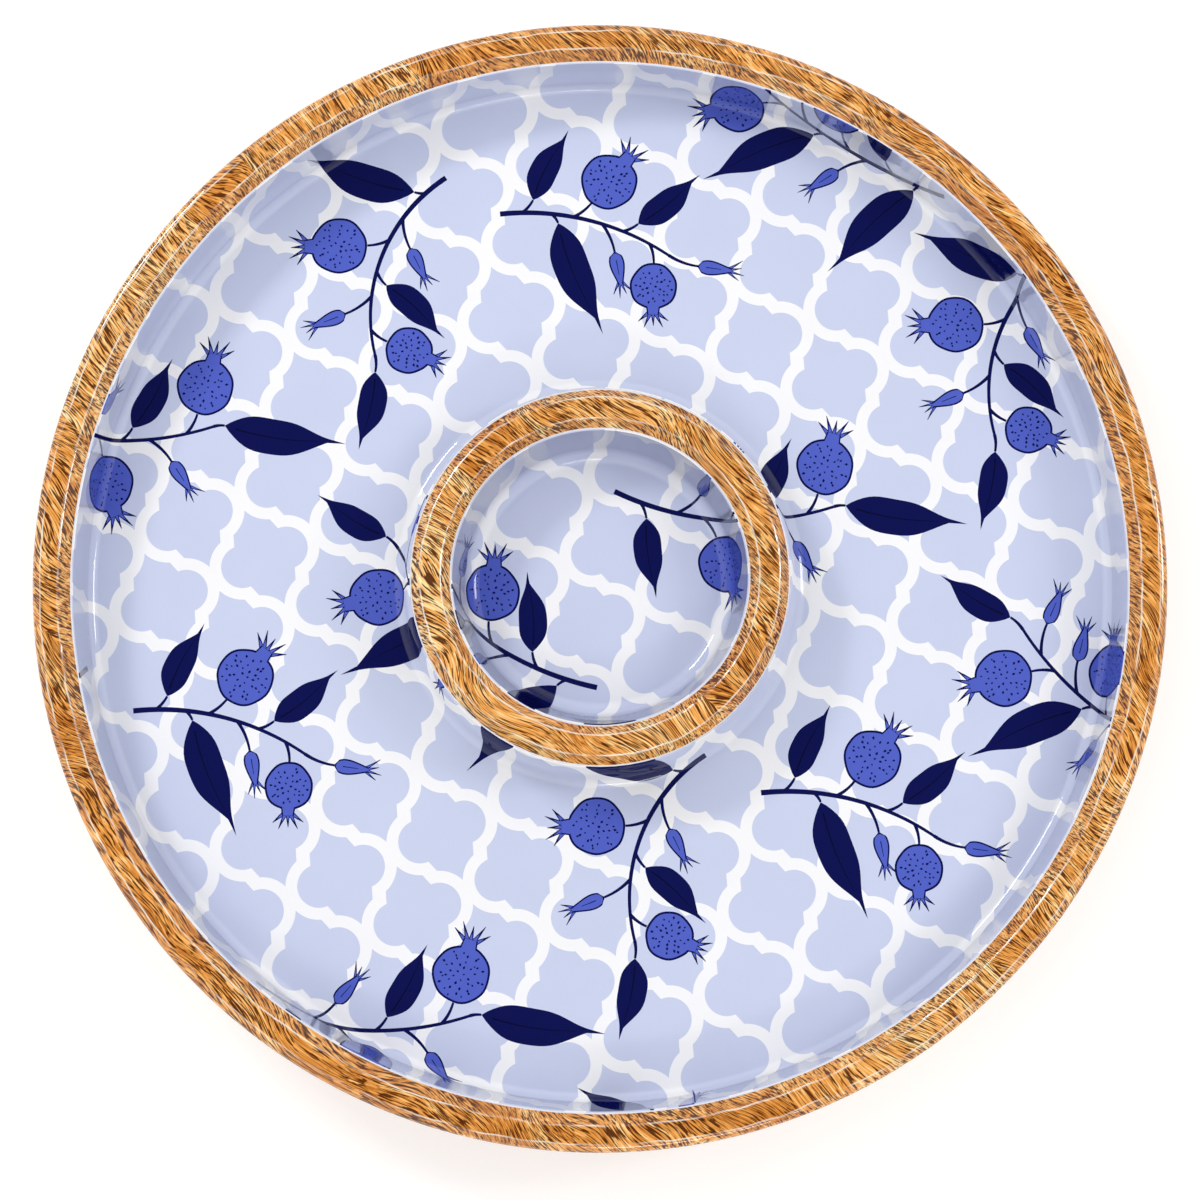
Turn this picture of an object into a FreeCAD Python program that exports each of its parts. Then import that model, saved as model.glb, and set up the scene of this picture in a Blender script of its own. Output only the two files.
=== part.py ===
"""Chip and dip server: a round platter turned from an edge-glued blank, with a dip ring standing in its middle.

The blank is glued up from mango wood boards that run right across the platter, so the rim, the floor and the
dip ring of one board are a single piece of timber. The chip channel and the dip well are each lined with three
layers: a white ground coat on the wood, a printed sheet on the ground coat, and a clear resin coat on the print.

Frame: origin at the centre of the face the platter stands on, +Z up through the dip well. Millimetres.
"""
import FreeCAD, Part
import math
import os
from FreeCAD import Vector

# Overall turned body
OUTER_DIAMETER = 381.0
OVERALL_HEIGHT = 44.0
FLOOR_THICKNESS = 15.5        # wood left between the foot recess and the lining
FOOT_RECESS_DEPTH = 2.0
FOOT_WIDTH = 22.0             # radial width of the foot ring the platter stands on
BELLY_RADIUS = 32.0           # quarter round that carries the side down to the foot

# Rim section: a flat land, rounded over to the outside and with a shoulder sloping into the channel
RIM_LAND_WIDTH = 6.0
RIM_ROUND_OVER = 2.9
RIM_INNER_SHOULDER = (3.5, 3.4)   # run across, drop
RIM_EDGE_SOFTENING = 1.3

# Dip ring section
RING_OUTER_DIAMETER = 127.0   # across the wood of the ring
RING_LAND_WIDTH = 6.9
RING_OUTER_SHOULDER = (3.1, 3.2)
RING_INNER_SHOULDER = (2.9, 3.2)
RING_EDGE_SOFTENING = 1.2

# Walls of the two hollows, as draft from upright and the radius where they sweep into the floor
CHANNEL_DRAFT = 2.0
CHANNEL_COVE = 3.5
RING_DRAFT = 7.0
RING_COVE = 4.0
WELL_DRAFT = 9.0
WELL_COVE = 6.0

# Lining, from the wood outwards
GROUND_COAT = 0.5
PRINT_SHEET = 0.3
CLEAR_COAT = 0.7

# Edge-glued boards: the direction they run in, and each glue line's distance from the centre
BOARD_DIRECTION = 137.0
GLUE_LINES = (-146.0, -84.0, -21.0, 6.0, 84.0, 140.0)

OUT = "parts"

# Values that follow from the sizes above
RIM_RADIUS = OUTER_DIAMETER / 2
RING_RADIUS = RING_OUTER_DIAMETER / 2
LINING = GROUND_COAT + PRINT_SHEET + CLEAR_COAT
WOOD_FLOOR = FOOT_RECESS_DEPTH + FLOOR_THICKNESS
CHANNEL_EDGE = RIM_RADIUS - RIM_ROUND_OVER - RIM_LAND_WIDTH - RIM_INNER_SHOULDER[0]
CHANNEL_LIP = OVERALL_HEIGHT - RIM_INNER_SHOULDER[1]
RING_LIP = OVERALL_HEIGHT - RING_OUTER_SHOULDER[1]
WELL_EDGE = RING_RADIUS - RING_OUTER_SHOULDER[0] - RING_LAND_WIDTH - RING_INNER_SHOULDER[0]
WELL_LIP = OVERALL_HEIGHT - RING_INNER_SHOULDER[1]


def at(r, z):
    """A point of the turned section, at radius r and height z."""
    return Vector(r, 0, z)


def line(p, q):
    return Part.LineSegment(p, q).toShape()


def arc(p, mid, q):
    return Part.Arc(p, mid, q).toShape()


def spin(edges):
    """Turns a closed section about the platter's axis."""
    return Part.Face(Part.Wire(edges)).revolve(Vector(0, 0, 0), Vector(0, 0, 1), 360)


class Wall:
    """One side wall of a hollow, with the cove that joins it to the floor, at a depth of lining over the wood.

    A depth of 0 is the bare wood, and each layer of the lining stands further into the hollow.
    side is +1 where the wall is outside the hollow and -1 where it is inside, as on the dip ring.
    """

    def __init__(self, edge, lip, draft, cove, side, depth):
        tilt = math.radians(draft)
        finished = cove + LINING                     # the cove's radius where it is cut in the wood
        middle_z = WOOD_FLOOR + finished
        middle_r = edge - side * ((lip - middle_z) * math.tan(tilt) + finished / math.cos(tilt))
        radius = finished - depth
        self.foot = at(middle_r, middle_z - radius)
        half = math.radians(45) - tilt / 2
        self.bend = at(middle_r + side * radius * math.sin(half), middle_z - radius * math.cos(half))
        self.spring = at(middle_r + side * radius * math.cos(tilt), middle_z - radius * math.sin(tilt))
        self.top = at(edge - side * depth / math.cos(tilt), lip)

    def climb(self):
        """Edges from the floor up to the lip."""
        return [arc(self.foot, self.bend, self.spring), line(self.spring, self.top)]


def channel_walls(depth):
    """The ring's wall and the rim's wall of the chip channel."""
    return (Wall(RING_RADIUS, RING_LIP, RING_DRAFT, RING_COVE, -1, depth),
            Wall(CHANNEL_EDGE, CHANNEL_LIP, CHANNEL_DRAFT, CHANNEL_COVE, 1, depth))


def well_wall(depth):
    return Wall(WELL_EDGE, WELL_LIP, WELL_DRAFT, WELL_COVE, 1, depth)


def softened(points, radius):
    """Edges through the points, with every corner between the first and the last rounded off."""
    edges, start = [], points[0]
    for before, corner, after in zip(points, points[1:], points[2:]):
        back = (before - corner).normalize()
        on = (after - corner).normalize()
        half = back.getAngle(on) / 2
        reach = radius / math.tan(half)
        middle = corner + (back + on).normalize() * (radius / math.sin(half))
        nearest = middle + (corner - middle).normalize() * radius
        edges += [line(start, corner + back * reach), arc(corner + back * reach, nearest, corner + on * reach)]
        start = corner + on * reach
    return edges + [line(start, points[-1])]


def turned_body():
    """The whole wooden body in one piece, as it comes off the lathe."""
    well = well_wall(0)
    ring, rim = channel_walls(0)
    belly = at(RIM_RADIUS - BELLY_RADIUS, BELLY_RADIUS)
    half = BELLY_RADIUS * math.sqrt(0.5)
    foot_inside = RIM_RADIUS - BELLY_RADIUS - FOOT_WIDTH
    ring_top = softened([
        well.top,
        at(WELL_EDGE + RING_INNER_SHOULDER[0], OVERALL_HEIGHT),
        at(RING_RADIUS - RING_OUTER_SHOULDER[0], OVERALL_HEIGHT),
        ring.top,
    ], RING_EDGE_SOFTENING)
    land_edge = at(RIM_RADIUS - RIM_ROUND_OVER, OVERALL_HEIGHT)
    round_middle = at(RIM_RADIUS - RIM_ROUND_OVER, OVERALL_HEIGHT - RIM_ROUND_OVER)
    diagonal = RIM_ROUND_OVER * math.sqrt(0.5)
    side_top = at(RIM_RADIUS, OVERALL_HEIGHT - RIM_ROUND_OVER)
    rim_top = [
        *softened([rim.top, at(CHANNEL_EDGE + RIM_INNER_SHOULDER[0], OVERALL_HEIGHT), land_edge],
                  RIM_EDGE_SOFTENING),
        arc(land_edge, round_middle + at(diagonal, diagonal), side_top),
        line(side_top, at(RIM_RADIUS, BELLY_RADIUS)),
    ]
    down_the_ring = [line(ring.top, ring.spring), arc(ring.spring, ring.bend, ring.foot)]
    underside = [
        arc(at(RIM_RADIUS, BELLY_RADIUS), belly + at(half, -half), at(RIM_RADIUS - BELLY_RADIUS, 0)),
        line(at(RIM_RADIUS - BELLY_RADIUS, 0), at(foot_inside, 0)),
        line(at(foot_inside, 0), at(foot_inside - FOOT_RECESS_DEPTH, FOOT_RECESS_DEPTH)),
        line(at(foot_inside - FOOT_RECESS_DEPTH, FOOT_RECESS_DEPTH), at(0, FOOT_RECESS_DEPTH)),
        line(at(0, FOOT_RECESS_DEPTH), at(0, WOOD_FLOOR)),
    ]
    return spin([line(at(0, WOOD_FLOOR), well.foot), *well.climb(), *ring_top, *down_the_ring,
                 line(ring.foot, rim.foot), *rim.climb(), *rim_top, *underside])


def boards():
    """The turned body cut along its glue lines: board_1, board_2 and so on across the platter."""
    body = turned_body()
    reach = OUTER_DIAMETER
    edges = (-reach, *GLUE_LINES, reach)
    made = {}
    for number, (low, high) in enumerate(zip(edges, edges[1:]), 1):
        slab = Part.makeBox(2 * reach, high - low, OVERALL_HEIGHT, Vector(-reach, low, 0))
        slab.rotate(Vector(0, 0, 0), Vector(0, 0, 1), BOARD_DIRECTION)
        made[f"board_{number}"] = body.common(slab)
    return made


def channel_layer(under, over):
    """A layer of the chip channel's lining, between two depths in front of the wood."""
    (ring_u, rim_u), (ring_o, rim_o) = channel_walls(under), channel_walls(over)
    down = [line(ring_u.top, ring_u.spring), arc(ring_u.spring, ring_u.bend, ring_u.foot)]
    back = [line(rim_o.top, rim_o.spring), arc(rim_o.spring, rim_o.bend, rim_o.foot)]
    return spin([*down, line(ring_u.foot, rim_u.foot), *rim_u.climb(), line(rim_u.top, rim_o.top),
                 *back, line(rim_o.foot, ring_o.foot), *ring_o.climb(), line(ring_o.top, ring_u.top)])


def well_layer(under, over):
    """A layer of the dip well's lining, between two depths in front of the wood."""
    outer, inner = well_wall(under), well_wall(over)
    axis_low, axis_high = at(0, outer.foot.z), at(0, inner.foot.z)
    return spin([line(axis_low, outer.foot), *outer.climb(), line(outer.top, inner.top),
                 line(inner.top, inner.spring), arc(inner.spring, inner.bend, inner.foot),
                 line(inner.foot, axis_high), line(axis_high, axis_low)])


def linings():
    layers = (("ground_coat", 0, GROUND_COAT),
              ("print_sheet", GROUND_COAT, GROUND_COAT + PRINT_SHEET),
              ("clear_coat", GROUND_COAT + PRINT_SHEET, LINING))
    made = {}
    for name, under, over in layers:
        made[f"channel_{name}"] = channel_layer(under, over)
        made[f"well_{name}"] = well_layer(under, over)
    return made


def main():
    os.makedirs(OUT, exist_ok=True)
    for name, shape in {**boards(), **linings()}.items():
        solids = shape.Solids
        if not solids or not all(s.isValid() and s.Volume > 0 for s in solids):
            raise ValueError(f"{name} isn't a sound solid")
        whole = solids[0] if len(solids) == 1 else Part.makeCompound(solids)
        whole.exportStep(f"{OUT}/{name}.step")
        print(f"{name:22s} {len(solids)} solid(s), {whole.Volume / 1000:9.2f} cm3")


main()
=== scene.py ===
"""Looks of a chip and dip server: a round platter turned from mango wood, and lined with a printed sheet
under a clear coat."""
import bpy
import math
import random
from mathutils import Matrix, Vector
from mathutils.geometry import delaunay_2d_cdt


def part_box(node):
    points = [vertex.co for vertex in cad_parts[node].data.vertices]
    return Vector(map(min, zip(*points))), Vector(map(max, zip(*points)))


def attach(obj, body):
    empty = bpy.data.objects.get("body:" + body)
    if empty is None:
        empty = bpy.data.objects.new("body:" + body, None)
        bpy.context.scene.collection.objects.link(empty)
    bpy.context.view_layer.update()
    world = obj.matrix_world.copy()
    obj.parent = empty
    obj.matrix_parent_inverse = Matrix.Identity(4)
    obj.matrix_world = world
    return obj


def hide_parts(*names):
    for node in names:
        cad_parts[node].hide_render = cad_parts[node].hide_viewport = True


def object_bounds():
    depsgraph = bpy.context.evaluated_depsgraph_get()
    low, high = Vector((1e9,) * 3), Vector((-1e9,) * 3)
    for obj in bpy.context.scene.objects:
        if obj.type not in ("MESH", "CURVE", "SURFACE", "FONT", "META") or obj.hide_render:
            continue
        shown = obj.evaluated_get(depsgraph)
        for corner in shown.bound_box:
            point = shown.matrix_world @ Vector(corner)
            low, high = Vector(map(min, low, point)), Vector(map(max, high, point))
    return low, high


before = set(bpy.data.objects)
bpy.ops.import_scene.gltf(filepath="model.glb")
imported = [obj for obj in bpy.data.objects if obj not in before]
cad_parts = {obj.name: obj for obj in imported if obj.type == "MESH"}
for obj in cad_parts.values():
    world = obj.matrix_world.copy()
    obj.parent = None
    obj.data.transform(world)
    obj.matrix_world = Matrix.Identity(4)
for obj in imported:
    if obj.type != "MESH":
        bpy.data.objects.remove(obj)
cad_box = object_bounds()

MM = 0.001


# ---------------------------------------------------------------------------------------------------------
# Studio: a pale floor under the platter, soft boxes above it, and a camera that looks almost straight down.
# ---------------------------------------------------------------------------------------------------------
CAMERA_DISTANCE = 0.85
CAMERA_TILT = math.radians(6.0)
CAMERA_LENS = 76.25
AIM_BEYOND_CENTRE = -0.0084
FLOOR_HALF_WIDTH = 6.0
FLOOR_GREY = (0.72, 0.72, 0.72, 1)
FLOOR_GLOW = 0.40
ROOM_SHADES = ((0.0, 0.42), (0.40, 0.66), (0.72, 1.0), (0.93, 0.98), (0.95, 0.035))   # 0 is level, 1 overhead
ROOM_STRENGTH = 1.08
SOFT_BOXES = {      # place, size and power
    "box_upper_left": ((-0.9, 0.8, 1.0), (0.36, 0.22), 6.8),
    "box_right": ((1.1, 0.2, 0.9), (0.20, 0.42), 3.0),
    "box_front": ((0.2, -1.2, 1.1), (0.46, 0.16), 2.3),
}
top = cad_box[1].z

bpy.context.scene.view_settings.view_transform = "Standard"


class Socket:
    """An output of a shader node. Sums, differences, products and quotients of it add Math nodes."""

    def __init__(self, shader, output):
        self.shader, self.output = shader, output

    def math(self, operation, *values, **settings):
        settings["operation"] = operation
        return self.shader.node("ShaderNodeMath", settings, dict(enumerate(values)))[0]

    def limited(self):
        """The same value, held between 0 and 1."""
        return self.math("ADD", self, 0.0, use_clamp=True)

    def __add__(self, other):
        return self.math("ADD", self, other)

    def __sub__(self, other):
        return self.math("SUBTRACT", self, other)

    def __mul__(self, other):
        return self.math("MULTIPLY", self, other)

    def __truediv__(self, other):
        return self.math("DIVIDE", self, other)

    def __radd__(self, other):
        return self.math("ADD", other, self)

    def __rsub__(self, other):
        return self.math("SUBTRACT", other, self)


class Shader:
    """The nodes of a material or of the world, and the shader node that they feed."""

    def __init__(self, owner, surface):
        self.owner = owner
        owner.use_nodes = True
        self.tree = owner.node_tree
        self.surface = self.tree.nodes[surface]

    @classmethod
    def material(cls, name):
        return cls(bpy.data.materials.new(name), "Principled BSDF")

    def node(self, kind, settings=(), sockets=()):
        """Adds a node, sets its settings and then its sockets, and gives its outputs."""
        made = self.tree.nodes.new(kind)
        for name, value in dict(settings).items():
            if name == "stops":
                self.ramp(made, value)
            else:
                setattr(made, name, value)
        for name, value in dict(sockets).items():
            self.feed(made, name, value)
        return [Socket(self, output) for output in made.outputs]

    def ramp(self, node, stops):
        elements = node.color_ramp.elements
        while len(elements) < len(stops):
            elements.new(0.5)
        for element, (place, colour) in zip(elements, stops):
            element.position, element.color = place, (*colour, 1)

    def feed(self, node, name, value):
        if isinstance(value, Socket):
            self.tree.links.new(value.output, node.inputs[name])
        else:
            node.inputs[name].default_value = value

    def finish(self, **sockets):
        """Feeds the surface's own sockets, written with _ for a space."""
        for name, value in sockets.items():
            self.feed(self.surface, name.replace("_", " "), value)
        return self.owner

    def mapped(self, place, **sockets):
        return self.node("ShaderNodeMapping", {"vector_type": "POINT"}, {"Vector": place, **sockets})[0]

    def place(self):
        """Millimetres in the piece's own space."""
        return self.mapped(self.node("ShaderNodeTexCoord")[3], Scale=(1 / MM, 1 / MM, 1 / MM))

    def from_axis(self, place):
        """How far a place is from the platter's axis."""
        x, y, _ = self.node("ShaderNodeSeparateXYZ", {}, {"Vector": place})
        return x.math("SQRT", x * x + y * y)

    def noise(self, place, stretch, detail=2.0, roughness=0.5, shift=(0, 0, 0)):
        """Noise whose features are about as long as stretch, in millimetres along each axis."""
        scaled = self.mapped(place, Location=shift, Scale=tuple(1 / s for s in stretch))
        return self.node("ShaderNodeTexNoise", {},
                         {"Vector": scaled, "Scale": 1.0, "Detail": detail, "Roughness": roughness})[0]

    def turned(self, place, angle):
        return self.mapped(place, Rotation=(0, 0, angle))

    def swirled(self, place, size, reach, shift):
        """The place, carried up to half of reach to one side in swirls of about the given size. They are
        nearly level: they change slowly with height and hardly lift the place."""
        slow, low = 0.3, 0.1
        scaled = self.mapped(place, Location=shift, Scale=(1 / size, 1 / size, slow / size))
        carried = self.node("ShaderNodeTexNoise", {}, {"Vector": scaled, "Scale": 1.0, "Detail": 1.0})[1]
        return self.node("ShaderNodeVectorMath", {"operation": "MULTIPLY_ADD"},
                         {0: carried, 1: (reach, reach, reach * low), 2: place})[0]

    def mix(self, share, first, second):
        return self.node("ShaderNodeMix", {"data_type": "RGBA"}, {0: share, 6: first, 7: second})[2]


def studio_floor():
    mesh = bpy.data.meshes.new("studio_floor")
    ways = ((-1, -1), (1, -1), (1, 1), (-1, 1))
    mesh.from_pydata([(x * FLOOR_HALF_WIDTH, y * FLOOR_HALF_WIDTH, 0) for x, y in ways], [], [(0, 1, 2, 3)])
    piece = bpy.data.objects.new("studio_floor", mesh)
    bpy.context.scene.collection.objects.link(piece)
    glowing = Shader.material("light_table")
    mesh.materials.append(glowing.finish(Base_Color=FLOOR_GREY, Roughness=0.9, Specular_IOR_Level=0.0,
                                         Emission_Color=(1, 1, 1, 1), Emission_Strength=FLOOR_GLOW))


def soft_box(name, place, size, power):
    light = bpy.data.lights.new(name, "AREA")
    light.shape, light.size, light.size_y, light.energy = "RECTANGLE", *size, power
    lamp = bpy.data.objects.new(name, light)
    lamp.location = place
    lamp.rotation_euler = (-Vector(place)).to_track_quat("-Z", "Y").to_euler()
    bpy.context.scene.collection.objects.link(lamp)


def studio_camera():
    data = bpy.data.cameras.new("camera")
    data.lens = CAMERA_LENS
    camera = bpy.data.objects.new("camera", data)
    aim = Vector((0, AIM_BEYOND_CENTRE, top))
    back = Vector((0, -math.sin(CAMERA_TILT), math.cos(CAMERA_TILT)))
    camera.location = aim + back * CAMERA_DISTANCE
    camera.rotation_euler = (-back).to_track_quat("-Z", "Y").to_euler()
    bpy.context.scene.collection.objects.link(camera)
    bpy.context.scene.camera = camera


def studio_room():
    """White walls all round, and a dark ceiling for the level gloss to mirror, so that its inks stay deep."""
    world = bpy.data.worlds.new("studio")
    bpy.context.scene.world = world
    room = Shader(world, "Background")
    direction = room.node("ShaderNodeTexCoord")[0]
    height = room.node("ShaderNodeSeparateXYZ", {}, {"Vector": direction})[2]
    stops = [(at, (shade,) * 3) for at, shade in ROOM_SHADES]
    walls = room.node("ShaderNodeValToRGB", {"stops": stops}, {"Fac": height})[0]
    room.finish(Color=walls, Strength=ROOM_STRENGTH)


studio_floor()
studio_room()
for box, (place, size, power) in SOFT_BOXES.items():
    soft_box(box, place, size, power)
studio_camera()


# ---------------------------------------------------------------------------------------------------------
# Boards: seven lengths of mango wood, edge glued into one blank before it was turned, sanded and lacquered.
# The grain runs along the boards, and each board is its own piece of the tree.
# ---------------------------------------------------------------------------------------------------------
BOARD_COUNT = 7
BOARD_DIRECTION = math.radians(137.0)
HONEY = (0.90, 0.40, 0.092)
STRAW = (1.0, 0.80, 0.40)
TOFFEE = (0.52, 0.17, 0.024)
PORE_BROWN = (0.075, 0.012, 0.0015)
# painted highlight: the cream of thin lines along each arris, which stand for the lacquer's gloss there
PAINTED_HIGHLIGHT_CREAM = (0.95, 0.88, 0.74)
SWIRL_SIZE, SWIRL_REACH = 46, 32
BAND_SIZE = (90, 5.0, 7.0)        # each figure's length with the grain, across it, and up the board
FIBRE_SIZE = (8.0, 0.5, 1.5)
PATCH_SIZE = (38, 24, 24)
PORE_SIZE = (5.5, 0.44, 1.9)
BODY_STOPS = [(0.30, TOFFEE), (0.50, HONEY), (0.70, STRAW)]
PORE_STOPS = [(0.495, (0, 0, 0)), (0.56, (1, 1, 1))]
ARRIS_RADII = (187.6, 181.6, 60.4, 53.5)      # both edges of the flat top of the rim, then of the dip ring
PAINTED_HIGHLIGHT_HALF_WIDTH = 0.36
PAINTED_HIGHLIGHT_DROP = 1.6                   # how far below the top the painted highlight fades out


def mango_wood(number):
    """Lacquered mango: broad growth bands, fine fibre, the short dark strokes of its open pores, and a
    painted
    highlight: thin cream lines along each arris, broken here and there, for the gloss of the lacquer."""
    draw = random.Random(number)
    wood = Shader.material(f"mango_wood_{number}")
    shift = tuple(draw.uniform(-40, 40) for _ in range(3))
    tone = draw.uniform(-0.06, 0.06)
    level = wood.place()
    swirled = wood.swirled(level, SWIRL_SIZE, SWIRL_REACH, shift)
    along = wood.turned(swirled, draw.uniform(-0.12, 0.12) - BOARD_DIRECTION)
    bands = wood.noise(along, BAND_SIZE, 3.0, 0.55, shift)
    fibre = wood.noise(along, FIBRE_SIZE, 2.0, 0.6, shift)
    patches = wood.noise(along, PATCH_SIZE, 2.0, 0.5, shift)
    pores = wood.noise(along, PORE_SIZE, 1.5, 0.55, shift)
    shade = bands * 0.50 + fibre * 0.9 + patches * 0.25 + (tone - 0.34)
    body = wood.node("ShaderNodeValToRGB", {"stops": BODY_STOPS}, {"Fac": shade})[0]
    open_pores = pores + (patches - 0.5) * 0.16
    strokes = wood.node("ShaderNodeValToRGB", {"stops": PORE_STOPS}, {"Fac": open_pores})[0]
    depth = wood.node("ShaderNodeSeparateColor", {}, {"Color": strokes})[0]
    grained = wood.mix(depth * 0.95, body, (*PORE_BROWN, 1))
    out = wood.from_axis(level) + wood.noise(level, (11, 11, 11), 1.0) * 1.6 - 0.8
    height = wood.node("ShaderNodeSeparateXYZ", {}, {"Vector": level})[2]
    # Painted highlight: cream lines near each arris of the flat tops, fading out below the top and broken by
    # noise, stand for the lacquer's gloss on the rounded edges.
    near = [(1 - out.math("ABSOLUTE", out - radius) / PAINTED_HIGHLIGHT_HALF_WIDTH).limited() for radius in ARRIS_RADII]
    highlight_shown = (wood.noise(level, (13, 13, 13), 2.0) * 4.5 - 1.6).limited()
    painted_highlight = sum(near[1:], near[0]) * (height - (top / MM - PAINTED_HIGHLIGHT_DROP)).limited() * highlight_shown
    colour = wood.mix(painted_highlight * 0.85, grained, (*PAINTED_HIGHLIGHT_CREAM, 1))
    grain = wood.node("ShaderNodeBump", {}, {"Strength": 0.25, "Distance": 0.0001,
                                             "Height": fibre * 0.3 - depth})[0]
    return wood.finish(Base_Color=colour, Roughness=0.42 + depth * 0.2, Normal=grain, Specular_IOR_Level=0.0,
                       Coat_Weight=1.0, Coat_Roughness=0.05, Coat_IOR=1.7)


for number in range(1, BOARD_COUNT + 1):
    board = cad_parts[f"board_{number}"]
    board.data.materials.clear()
    board.data.materials.append(mango_wood(number))


# ---------------------------------------------------------------------------------------------------------
# Ground coats: the white enamel brushed on the wood under the print. Only its edge shows, at the lip of each
# hollow, as a fine white line between the print and the wood.
# ---------------------------------------------------------------------------------------------------------
def enamel(name, colour, unevenness=0.03):
    """A coloured ink or enamel under a clear gloss, a little uneven in tone and never quite flat."""
    ink = Shader.material(name)
    place = ink.place()
    tone = ink.noise(place, (22, 22, 22), 3.0)
    speck = ink.noise(place, (0.9, 0.9, 0.9), 1.0)
    darker = tuple(c * (1 - unevenness * 2) for c in colour)
    lighter = tuple(min(1, c * (1 + unevenness)) for c in colour)
    tint = ink.mix(tone * 0.7 + speck * 0.3, (*darker, 1), (*lighter, 1))
    swell = ink.node("ShaderNodeBump", {}, {"Strength": 0.12, "Distance": 0.00006, "Height": tone})[0]
    return ink.finish(Base_Color=tint, Roughness=0.5 + speck * 0.08, Normal=swell, Specular_IOR_Level=0.0,
                      Coat_Weight=1.0, Coat_Roughness=0.025)


WHITE_ENAMEL = enamel("white_enamel", (0.78, 0.79, 0.85), 0.01)
for name in ("channel_ground_coat", "well_ground_coat"):
    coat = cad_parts[name]
    coat.data.materials.clear()
    coat.data.materials.append(WHITE_ENAMEL)


# ---------------------------------------------------------------------------------------------------------
# Printed pattern, drawn flat in millimetres: a white trellis with pale blue windows, and sprigs of fruit,
# buds and leaves laid over it in a half-drop repeat. Later sections wrap it over the two hollows.
# ---------------------------------------------------------------------------------------------------------
TRELLIS_TURN = math.radians(23.7)
TRELLIS_PITCH = (37.4, 44.5)
TRELLIS_START = (4.9, 13.4)
LOBE_CENTRE, LOBE_RADIUS = 8.2, 7.4
WINDOW_NOTCH = (6.8, 11.5)
WINDOW_TIP = 17.8
POINT_CENTRE = (10.5, 22.25)
PRINT_REACH = 190.0
SPRIG_REPEAT = ((215.0, -28.0), (90.0, -202.0))
OUTLINE = 0.75
INKS = {
    "white": (0.90, 0.90, 0.92),
    "pale_blue": (0.58, 0.625, 0.81),
    "navy": (0.004, 0.006, 0.076),
    "royal": (0.082, 0.118, 0.53),
    "midnight": (0.002, 0.003, 0.030),
}
INK_ORDER = list(INKS)


def turned(points, angle, start=(0, 0)):
    """Points turned by an angle and then moved to start."""
    c, s = math.cos(angle), math.sin(angle)
    return [(start[0] + x * c - y * s, start[1] + x * s + y * c) for x, y in points]


def arc(centre, radius, first, last, steps):
    """Points on an arc, its angles in degrees."""
    angles = [math.radians(first + (last - first) * k / steps) for k in range(steps + 1)]
    return [(centre[0] + radius * math.cos(a), centre[1] + radius * math.sin(a)) for a in angles]


def window():
    """Outline of one pale window: a round lobe each side, and a point above and below."""
    px, py = POINT_CENTRE
    to_notch = math.degrees(math.atan2(WINDOW_NOTCH[1] - py, WINDOW_NOTCH[0] - px))
    to_tip = math.degrees(math.atan2(WINDOW_TIP - py, -px))
    radius = math.hypot(px, WINDOW_TIP - py)
    quarter = arc((LOBE_CENTRE, 0), LOBE_RADIUS, 0, 90, 12)
    quarter += arc(POINT_CENTRE, radius, to_notch, to_tip, 10)
    left = [(-x, y) for x, y in reversed(quarter)][1:]
    upper = quarter + left
    return upper + [(x, -y) for x, y in reversed(upper)][1:-1]


def trellis():
    shape, (across, along) = window(), TRELLIS_PITCH
    count = math.ceil(2 * PRINT_REACH / min(TRELLIS_PITCH)) + 1
    for i in range(-count, count + 1):
        for j in range(-count, count + 1):
            middle = turned([((i - j) * across / 2, -(i + j) * along / 2)], TRELLIS_TURN, TRELLIS_START)[0]
            if math.hypot(*middle) < PRINT_REACH + WINDOW_TIP:
                yield "pale_blue", turned(shape, TRELLIS_TURN, middle)


def smooth(points, steps=7):
    """A smooth run through the points."""
    ends = [points[0], *points, points[-1]]
    run = []
    for a, b, c, d in zip(ends, ends[1:], ends[2:], ends[3:]):
        for k in range(steps):
            t = k / steps
            run.append(tuple(0.5 * (2 * q + (r - p) * t + (2 * p - 5 * q + 4 * r - s) * t * t
                                    + (3 * q - p - 3 * r + s) * t ** 3) for p, q, r, s in zip(a, b, c, d)))
    return [*run, points[-1]]


def stroke(points, thick, thin):
    """A line that tapers from thick to thin, as one quadrilateral for each short stretch."""
    run = smooth(points)
    sides = []
    for k, (x, y) in enumerate(run):
        before, after = run[max(k - 1, 0)], run[min(k + 1, len(run) - 1)]
        dx, dy = after[0] - before[0], after[1] - before[1]
        half = (thick + (thin - thick) * k / (len(run) - 1)) / 2 / math.hypot(dx, dy)
        sides.append(((x - dy * half, y + dx * half), (x + dy * half, y - dx * half)))
    for (a, b), (c, d) in zip(sides, sides[1:]):
        yield "navy", [a, b, d, c]


def leaf(base, degrees, length, width):
    """A leaf with a drawn-out tip, softly waved edges and a darker midrib."""
    bend = 0.10 * math.copysign(length, math.sin(degrees * 1.7))
    spine = [(length * t, bend * t * (1 - t) * 2) for t in (k / 20 for k in range(21))]
    edge = []
    for k in range(1, 20):
        t = k / 20
        swell = math.sin(math.pi * t ** 0.80) ** 1.15 * (1 + 0.07 * math.sin(11 * t))
        edge.append(width / 2 * swell + 0.2)
    upper = [(x, y + e) for (x, y), e in zip(spine[1:], edge)]
    lower = [(x, y - e * 0.92) for (x, y), e in zip(spine[1:], edge)]
    tip = (length * 1.12, bend * 0.14)
    turn = math.radians(degrees)
    yield "navy", turned([spine[0], *lower, tip, *reversed(upper)], turn, base)
    rib = spine[2:18]
    thick = [0.30 - 0.014 * k for k in range(len(rib))]
    below = [(x, y - h) for (x, y), h in zip(rib, thick)]
    above = [(x, y + h) for (x, y), h in zip(rib, thick)]
    yield "midnight", turned(below + above[::-1], turn, base)


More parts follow.
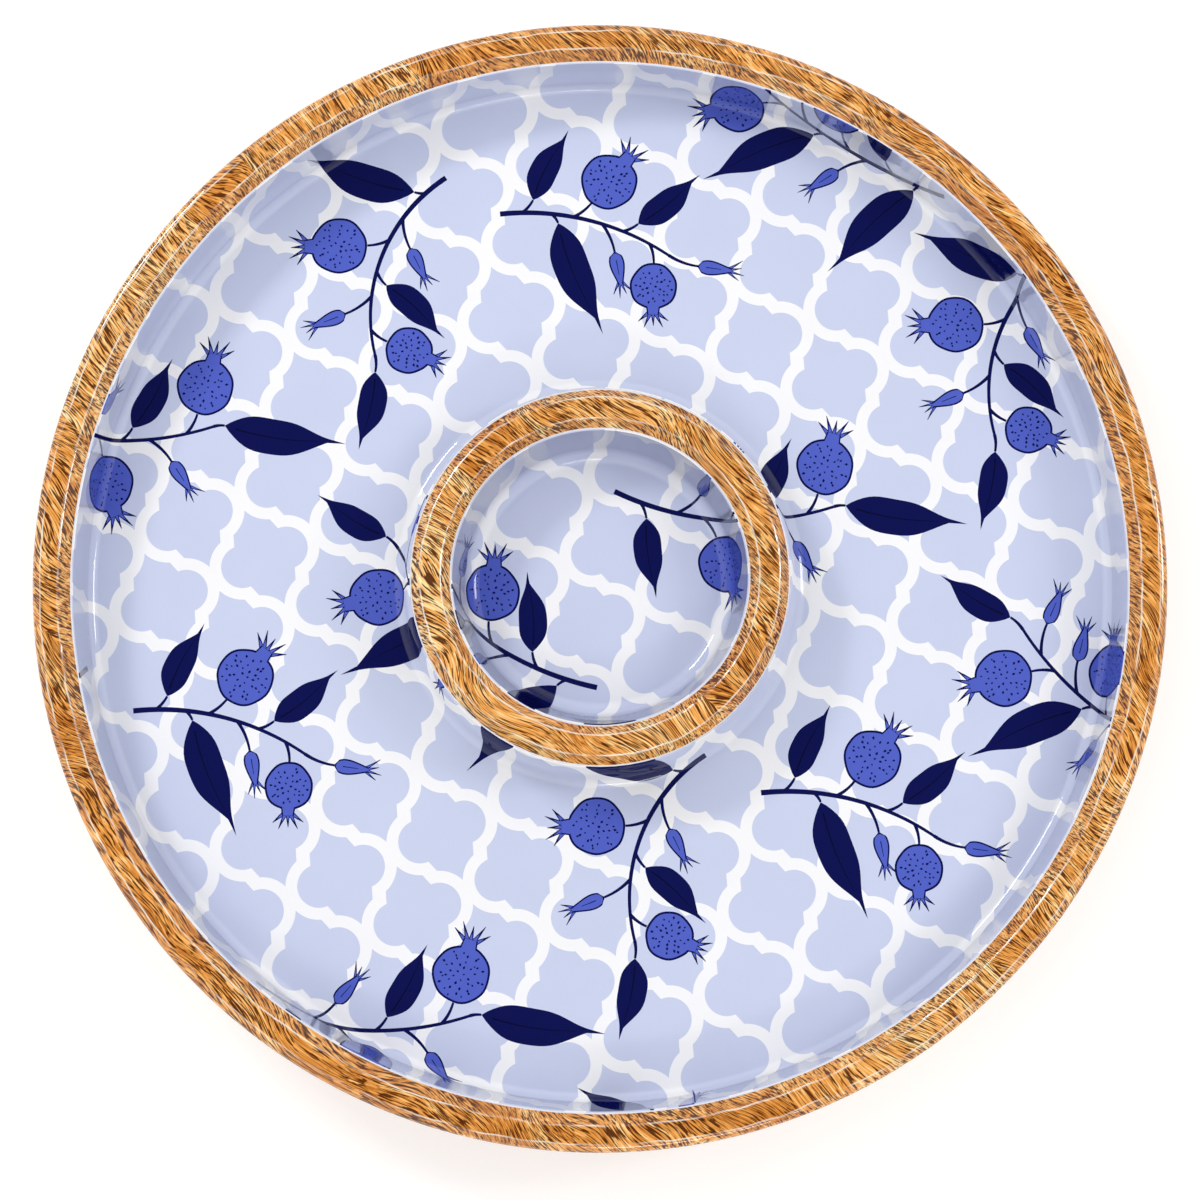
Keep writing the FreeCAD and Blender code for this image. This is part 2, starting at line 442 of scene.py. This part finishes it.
def sepals(start, degrees, reach, spread, count, root):
    """Pointed sepals fanned about one direction from a mouth, dark with a lighter heart near each root."""
    for ink, share in (("navy", 1.0), ("royal", 0.5)):
        for k in range(count):
            lean = 2 * k / (count - 1) - 1
            turn = math.radians(degrees + spread * lean)
            foot = turned([(-0.3, root * lean)], math.radians(degrees), start)[0]
            long = reach * (1.0 if k % 2 else 0.8) * share
            half = root * 0.22 + 0.45 * share
            yield ink, turned([(-0.6, half), (-0.6, -half), (long * 0.45, -half * 0.5), (long, 0.12),
                               (long, 0.3 * share), (long * 0.45, half * 0.62)], turn, foot)


def fruit(centre, radius, degrees):
    """A round fruit with a dark outline, a flared crown and seed marks in a spiral."""
    draw = random.Random(round(radius * 100 + degrees))
    turns = [2 * math.pi * k / 48 for k in range(48)]
    uneven = [1 + 0.015 * math.sin(3 * a + degrees) + 0.01 * math.sin(7 * a) for a in turns]
    crown = math.radians(degrees)

    def own(points):
        return turned(points, crown, centre)

    def round_body(inset):
        away = [radius * u - inset for u in uneven]
        return [(centre[0] + r * math.cos(a), centre[1] + r * math.sin(a)) for a, r in zip(turns, away)]

    def neck(inset):
        low, high, reach = radius * 0.30 - inset, radius * 0.25 - inset, radius * 1.22 - inset * 0.2
        return own([(radius * 0.85, -low), (reach, -high), (reach, high), (radius * 0.85, low)])

    yield from sepals(own([(radius * 1.2, 0)])[0], degrees, radius * 0.66, 52, 5, radius * 0.22)
    yield "navy", neck(0)
    yield "navy", round_body(0)
    yield "royal", neck(0.5)
    yield "royal", round_body(OUTLINE)
    golden = math.pi * (3 - math.sqrt(5))
    count = round(radius * 4.2)
    for k in range(count):
        away = (radius - OUTLINE - 1.0) * math.sqrt((k + 0.5) / count)
        turn = k * golden + draw.uniform(-0.25, 0.25)
        seed = (centre[0] + away * math.cos(turn), centre[1] + away * math.sin(turn))
        size = draw.uniform(0.30, 0.50)
        yield "navy", turned([(size * 1.4, 0), (0, size), (-size * 1.4, 0), (0, -size)], turn, seed)


def bud(base, degrees, length):
    """A long bud with a dark outline, a waist below its mouth, parted sepals and a crease down its middle."""
    turn = math.radians(degrees)

    def body(inset):
        reach = length * 0.72
        run = [(reach * k / 16, length * (0.055 + 0.125 * math.sin(math.pi * (k / 16) ** 0.72)
                                          * (1 - 0.35 * k / 16)) * min(1, 0.35 + k / 3)) for k in range(17)]
        upper = [(min(max(x, inset), reach), max(h - inset, 0.1)) for x, h in run]
        return turned(upper + [(x, -h) for x, h in reversed(upper)], turn, base)

    mouth = turned([(length * 0.70, 0)], turn, base)[0]
    yield from sepals(mouth, degrees, length * 0.32, 36, 4, length * 0.05)
    yield "navy", body(0)
    yield "royal", body(0.55)
    low, high = length * 0.18, length * 0.50
    yield "navy", turned([(low, -0.16), (high, -0.10), (high, 0.10), (low, 0.16)], turn, base)


# Each sprig: where its stem was cut, which way it sets off, how long it is, how many degrees it curls
# through, and what its twigs carry in turn. L and l are a long and a short leaf, F and f a large and a small
# fruit, and B is a bud.
SPRIGS = (
    {"at": (-54, 143), "heading": -146, "length": 72, "curl": 70, "carries": "LBFlBfl"},
    {"at": (-35, 130), "heading": 6, "length": 62, "curl": -40, "carries": "lLFBlfB"},
    {"at": (214, -64), "heading": 168, "length": 86, "curl": -46, "carries": "LlBFLBFBl"},
    {"at": (-210, 60), "heading": -26, "length": 78, "curl": 44, "carries": "lBFlBFL"},
)
MAKES = {       # the length of the twig, what it carries, and the sizes of that
    "L": (4, leaf, 38.0, 13.5),
    "l": (6, leaf, 25.0, 10.5),
    "F": (8, fruit, 9.9),
    "f": (7, fruit, 8.3),
    "B": (11, bud, 16.5),
}
STEM_STEPS = 24
STEM_WIDTHS = (1.9, 1.0)          # at the cut and at the tip
TWIG_WIDTHS = (1.25, 0.8)
TWIG_ANGLE, TWIG_CURL = 36.0, 26.0
FIRST_TWIG = 0.14                 # how far up the stem it leaves, as a share of the stem
REPEATS = range(-2, 3)


def shoot(start, degrees, length, curl, steps=6):
    """A shoot from start that curls evenly along its length: its points, and its direction at each."""
    points, headings = [start], [degrees]
    for k in range(steps):
        heading = degrees + curl * (k + 0.5) / steps
        points.append(turned([(length / steps, 0)], math.radians(heading), points[-1])[0])
        headings.append(degrees + curl * (k + 1) / steps)
    return points, headings


def sprig(drawing):
    """Everything in one sprig, lowest ink first. Twigs leave the stem to either side in turn."""
    start, heading, length, curl = (drawing[key] for key in ("at", "heading", "length", "curl"))
    stem, headings = shoot(start, heading, length, curl, STEM_STEPS)
    yield from stroke(stem, *STEM_WIDTHS)
    carried, last = [], len(drawing["carries"]) - 1
    for number, kind in enumerate(drawing["carries"]):
        reach, make, *sizes = MAKES[kind]
        at = round(STEM_STEPS * (FIRST_TWIG + (1 - FIRST_TWIG) * number / last))
        side = math.copysign(1, curl) * (-1 if number % 2 == 0 else 1)
        aside = side * TWIG_ANGLE if number < last else 0
        twig, turns = shoot(stem[at], headings[at] + aside, reach, side * TWIG_CURL)
        yield from stroke(twig, *TWIG_WIDTHS)
        if make is fruit:
            centre = turned([(sizes[0], 0)], math.radians(turns[-1]), twig[-1])[0]
            carried.append(fruit(centre, sizes[0], turns[-1]))
        else:
            carried.append(make(twig[-1], turns[-1], *sizes))
    for shapes in carried:
        yield from shapes


def sprigs():
    """The sprigs over the whole sheet, in the order in which they were printed."""
    (ax, ay), (bx, by) = SPRIG_REPEAT
    for drawing in SPRIGS:
        shapes = list(sprig(drawing))
        for i in REPEATS:
            for j in REPEATS:
                for ink, outline in shapes:
                    shape = turned(outline, 0, (i * ax + j * bx, i * ay + j * by))
                    if any(math.hypot(*point) < PRINT_REACH for point in shape):
                        yield ink, shape


PRINT = [*trellis(), *sprigs()]


# ---------------------------------------------------------------------------------------------------------
# Linings of the chip channel and the dip well: the printed sheet under its clear coat, one closed skin each.
# The sheet stretches as it is drawn down the walls, so that from above its print looks nearly unbroken. The
# flat print is cut to the hollow, and geometry nodes lower it on to the section that the lathe left.
# ---------------------------------------------------------------------------------------------------------
GROUND_DEPTH = 0.5                # the skin's back lies on the ground coat
CHANNEL_DRAFT, CHANNEL_COVE = 2.0, 3.5
RING_DRAFT, RING_COVE = 7.0, 4.0
WELL_DRAFT, WELL_COVE = 9.0, 6.0
COVE_STEPS = 10
MERGE_WITHIN = 1e-4               # points of the cut sheet nearer to each other than this become one
AROUND = 300                      # points round every circle of the sheet
CHORD_SLACK = 0.00008             # a share of the radius, and more than a chord between two of them dips

channel_low, channel_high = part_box("channel_ground_coat")
well_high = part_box("well_ground_coat")[1]
WOOD_FLOOR = channel_low.z / MM
CHANNEL_EDGE = channel_high.x / MM
WELL_EDGE = well_high.x / MM
RING_EDGE = 63.5
RING_INSIDE, RING_OUTSIDE = 10, 15            # the ring's outer wall and cove lie this near its edge
CHANNEL_LIP_DROP = 3.4
CHANNEL_LIP = top / MM - CHANNEL_LIP_DROP
RING_LIP = well_high.z / MM
LINING = 1.5
LIP_DEPTH = 0.9                   # the clear coat thins towards the lip
PRINT_EYE = 894.0                 # height from which the print would look unbroken, but for its give
PRINT_GIVE = 0.3                  # how much more of the print each step up a wall takes


def wall(edge, lip, draft, cove, side, depth):
    """Section of a wall, as points of radius and height from floor to lip, at a depth over the wood."""
    tilt = math.radians(draft)
    finished = cove + LINING
    middle_z = WOOD_FLOOR + finished
    middle_r = edge - side * ((lip - middle_z) * math.tan(tilt) + finished / math.cos(tilt))
    radius = finished - depth
    sweep = [math.radians(90 - draft) * k / COVE_STEPS for k in range(COVE_STEPS + 1)]
    points = [(middle_r + side * radius * math.sin(a), middle_z - radius * math.cos(a)) for a in sweep]
    return [*points, (edge - side * min(depth, LIP_DEPTH) / math.cos(tilt), lip)]


def channel_section(depth):
    ring = wall(RING_EDGE, RING_LIP, RING_DRAFT, RING_COVE, -1, depth)
    rim = wall(CHANNEL_EDGE, CHANNEL_LIP, CHANNEL_DRAFT, CHANNEL_COVE, 1, depth)
    return ring[::-1] + rim


def well_section(depth):
    return [(0, WOOD_FLOOR + depth), *wall(WELL_EDGE, RING_LIP, WELL_DRAFT, WELL_COVE, 1, depth)]


def flat_radii(section):
    """How far out on the flat print each point of a section lies."""
    floor = WOOD_FLOOR + LINING
    radii = []
    for r, z in section:
        side = -1 if RING_EDGE - RING_INSIDE < r < RING_EDGE + RING_OUTSIDE else 1
        radii.append(r * (PRINT_EYE - floor) / (PRINT_EYE - z) + side * PRINT_GIVE * max(z - floor, 0))
    return radii


def along_section(section, radii, radius):
    """How far along a section a radius of the flat print lies. A point on a chord counts as on its circle."""
    gone = 0
    for a, b, start, end in zip(section, section[1:], radii, radii[1:]):
        if radius < end * (1 - CHORD_SLACK):
            return gone + max((radius - start) / (end - start), 0) * math.dist(a, b)
        gone += math.dist(a, b)
    return gone


def circle(radius, count=AROUND):
    return [(radius * math.cos(2 * math.pi * k / count), radius * math.sin(2 * math.pi * k / count))
            for k in range(count)]


def cut_flat(name, section, shapes, loops=None):
    """A flat mesh as wide as the section, cut along every shape and at every turn of the section."""
    points, edges, faces = [], [], []
    radii = flat_radii(section)

    def outline(shape):
        """Adds a shape's points in anticlockwise order, because the other way round means its outside."""
        start = len(points)
        area = sum(a[0] * b[1] - b[0] * a[1] for a, b in zip(shape, [*shape[1:], shape[0]]))
        points.extend(Vector(p) for p in (shape if area > 0 else reversed(shape)))
        return list(range(start, len(points)))

    inner, outer = loops or (circle(radii[0]) if radii[0] > 0.01 else None, circle(radii[-1]))
    faces.append(outline(outer))
    if inner:
        faces.append(outline(inner))
    held = len(faces)
    faces += [outline(shape) for _, shape in shapes]
    for radius in radii[1:-1]:
        ring = outline(circle(radius))
        edges += [(a, b) for a, b in zip(ring, ring[1:] + ring[:1])]
    flat = delaunay_2d_cdt(points, edges, faces, 0, MERGE_WITHIN, True)
    kept, inks = [], []
    for face, sources in zip(flat[2], flat[5]):
        if 0 not in sources or (inner and 1 in sources):
            continue
        top_shape = max((s for s in sources if s >= held), default=None)
        kept.append(face)
        inks.append("white" if top_shape is None else shapes[top_shape - held][0])
    mesh = bpy.data.meshes.new(name)
    mesh.from_pydata([(x * MM, y * MM, 0) for x, y in flat[0]], [], kept)
    ink = mesh.attributes.new("ink", "INT", "FACE")
    ink.data.foreach_set("value", [INK_ORDER.index(i) for i in inks])
    along = mesh.attributes.new("along", "FLOAT", "POINT")
    gone = [along_section(section, radii, math.hypot(x, y)) * MM for x, y in flat[0]]
    along.data.foreach_set("value", gone)
    return mesh


class Tree:
    """A geometry node tree with named inputs."""

    def __init__(self, name, **inputs):
        self.tree = bpy.data.node_groups.new(name, "GeometryNodeTree")
        self.named = {"Geometry": self.tree.interface.new_socket("Geometry", in_out="INPUT",
                                                                 socket_type="NodeSocketGeometry")}
        for label, kind in inputs.items():
            label = label.replace("_", " ")
            self.named[label] = self.tree.interface.new_socket(label, in_out="INPUT", socket_type=kind)
        self.tree.interface.new_socket("Geometry", in_out="OUTPUT", socket_type="NodeSocketGeometry")
        self.start = self.tree.nodes.new("NodeGroupInput").outputs
        self.end = self.tree.nodes.new("NodeGroupOutput").inputs

    def node(self, kind, settings=(), sockets=()):
        made = self.tree.nodes.new(kind)
        for name, value in dict(settings).items():
            setattr(made, name, value)
        for name, value in dict(sockets).items():
            if isinstance(value, bpy.types.NodeSocket):
                self.tree.links.new(value, made.inputs[name])
            else:
                made.inputs[name].default_value = value
        return made.outputs


def wrap_tree(materials):
    """Lowers a flat sheet on to a turned section, each point as far along the section as it says itself."""
    tree = Tree("lower_on_to_section", Section="NodeSocketObject", Stretch="NodeSocketString")
    section = tree.node("GeometryNodeObjectInfo", {}, {"Object": tree.start["Section"]})["Geometry"]
    place = tree.node("GeometryNodeInputPosition")[0]
    out = tree.node("ShaderNodeVectorMath", {"operation": "NORMALIZE"}, {0: place})["Vector"]
    gone = tree.node("GeometryNodeInputNamedAttribute", {"data_type": "FLOAT"},
                     {"Name": tree.start["Stretch"]})["Attribute"]
    found = tree.node("GeometryNodeSampleCurve", {"mode": "LENGTH"}, {"Curves": section, "Length": gone})

    def about_axis(vector, across, up):
        parts = tree.node("ShaderNodeSeparateXYZ", {}, {0: vector})
        way = -1 if up == "X" else 1
        flat = tree.node("ShaderNodeMath", {"operation": "MULTIPLY"}, {0: parts[across], 1: way})[0]
        level = tree.node("ShaderNodeVectorMath", {"operation": "SCALE"}, {0: out, "Scale": flat})["Vector"]
        rise = tree.node("ShaderNodeCombineXYZ", {}, {"Z": parts[up]})[0]
        return tree.node("ShaderNodeVectorMath", {"operation": "ADD"}, {0: level, 1: rise})["Vector"]

    lowered = about_axis(found["Position"], "X", "Z")
    shape = tree.node("GeometryNodeSetPosition", {},
                      {"Geometry": tree.start["Geometry"], "Position": lowered})[0]
    facing = about_axis(found["Tangent"], "Z", "X")
    shape = tree.node("GeometryNodeStoreNamedAttribute", {"data_type": "FLOAT_VECTOR", "domain": "POINT"},
                      {"Geometry": shape, "Name": "facing", "Value": facing})[0]
    shape = tree.node("GeometryNodeRealizeInstances", {}, {"Geometry": shape})[0]
    ink = tree.node("GeometryNodeInputNamedAttribute", {"data_type": "INT"}, {"Name": "ink"})["Attribute"]
    for number, material in enumerate(materials):
        chosen = tree.node("FunctionNodeCompare", {"data_type": "INT", "operation": "EQUAL"},
                           {2: ink, 3: number})[0]
        shape = tree.node("GeometryNodeSetMaterial", {}, {"Geometry": shape, "Selection": chosen,
                                                          "Material": material})[0]
    tree.tree.links.new(shape, tree.end["Geometry"])
    return tree


def section_curve(name, section):
    curve = bpy.data.curves.new(name, "CURVE")
    curve.dimensions = "3D"
    spline = curve.splines.new("POLY")
    spline.points.add(len(section) - 1)
    for point, (r, z) in zip(spline.points, section):
        point.co = (r * MM, 0, z * MM, 1)
    guide = bpy.data.objects.new(name, curve)
    bpy.context.scene.collection.objects.link(guide)
    return guide


PRINT_MATERIALS = [enamel(f"ink_{name}", colour) for name, colour in INKS.items()]
WRAP = wrap_tree(PRINT_MATERIALS)


def wrapped(flat, section):
    """The flat mesh lowered on to the section, as a plain mesh."""
    guide = section_curve("section_guide", section)
    sheet = bpy.data.objects.new(flat.name, flat)
    bpy.context.scene.collection.objects.link(sheet)
    modifier = sheet.modifiers.new("wrap", "NODES")
    modifier.node_group = WRAP.tree
    modifier[WRAP.named["Section"].identifier] = guide
    modifier[WRAP.named["Stretch"].identifier] = "along"
    bpy.context.view_layer.update()
    graph = bpy.context.evaluated_depsgraph_get()
    mesh = bpy.data.meshes.new_from_object(sheet.evaluated_get(graph))
    bpy.data.objects.remove(sheet)
    bpy.data.objects.remove(guide)
    return mesh


def rims(flat):
    """The flat mesh's inner and outer borders, each as vertex numbers in order round the centre."""
    used = {}
    for face in flat.polygons:
        for key in face.edge_keys:
            used[key] = used.get(key, 0) + 1
    border = {v for key, times in used.items() if times == 1 for v in key}
    place = {v: flat.vertices[v].co for v in border}
    lengths = [c.length for c in place.values()]
    between = (min(lengths) + max(lengths)) / 2 * 0.999      # a lone border lies beyond it and is all outer
    inner = [v for v in border if place[v].length < between]
    outer = [v for v in border if place[v].length >= between]
    return [sorted(ring, key=lambda v: math.atan2(place[v].y, place[v].x)) for ring in (inner, outer)]


def lining(name, section_at):
    """A closed skin: the printed face, its lips, and a back that lies on the ground coat."""
    face_section, back_section = section_at(LINING), section_at(GROUND_DEPTH)
    face_flat = cut_flat(name, face_section, PRINT)
    face_rims = rims(face_flat)

    def loop(ring, radius):
        return [tuple(face_flat.vertices[v].co.to_2d().normalized() * radius) for v in ring]

    back_radii = flat_radii(back_section)
    inner, outer = loop(face_rims[0], back_radii[0]), loop(face_rims[1], back_radii[-1])
    back_flat = cut_flat(name + "_back", back_section, [], (inner or None, outer))
    back_rims = rims(back_flat)
    face = wrapped(face_flat, face_section)
    back = wrapped(back_flat, back_section)
    under = len(face.vertices)
    points = [v.co[:] for m in (face, back) for v in m.vertices]
    faces = [tuple(p.vertices) for p in face.polygons]
    slots = [p.material_index for p in face.polygons]
    facing = [face.attributes["facing"].data[v].vector[:] for p in faces for v in p]
    for p in back.polygons:
        turned_over = tuple(p.vertices)[::-1]
        faces.append(tuple(v + under for v in turned_over))
        facing += [tuple(-c for c in back.attributes["facing"].data[v].vector) for v in turned_over]
    beside = {key: p.material_index for p in face.polygons for key in p.edge_keys}
    white = next(k for k, m in enumerate(face.materials) if m == PRINT_MATERIALS[0])
    slots += [white] * (len(faces) - len(slots))
    for (front, behind), outside in zip(zip(face_rims, back_rims), (False, True)):
        if len(front) != len(behind):
            raise ValueError(f"{name}: lips have {len(front)} and {len(behind)} points")
        for a, b, c, d in zip(front, behind, behind[1:] + behind[:1], front[1:] + front[:1]):
            lip = (a, b + under, c + under, d) if outside else (b + under, a, d, c + under)
            faces.append(lip)
            slots.append(beside[min(a, d), max(a, d)])
            facing += [(0, 0, 1)] * 4
    mesh = bpy.data.meshes.new(name)
    mesh.from_pydata(points, [], faces)
    for material in face.materials:
        mesh.materials.append(material)
    mesh.polygons.foreach_set("material_index", slots)
    mesh.shade_smooth()
    mesh.normals_split_custom_set(facing)
    piece = bpy.data.objects.new(name, mesh)
    bpy.context.scene.collection.objects.link(piece)
    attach(piece, "root")
    return piece


channel_lining = lining("channel_lining", channel_section)
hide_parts("channel_print_sheet", "channel_clear_coat")
well_lining = lining("well_lining", well_section)
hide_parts("well_print_sheet", "well_clear_coat")
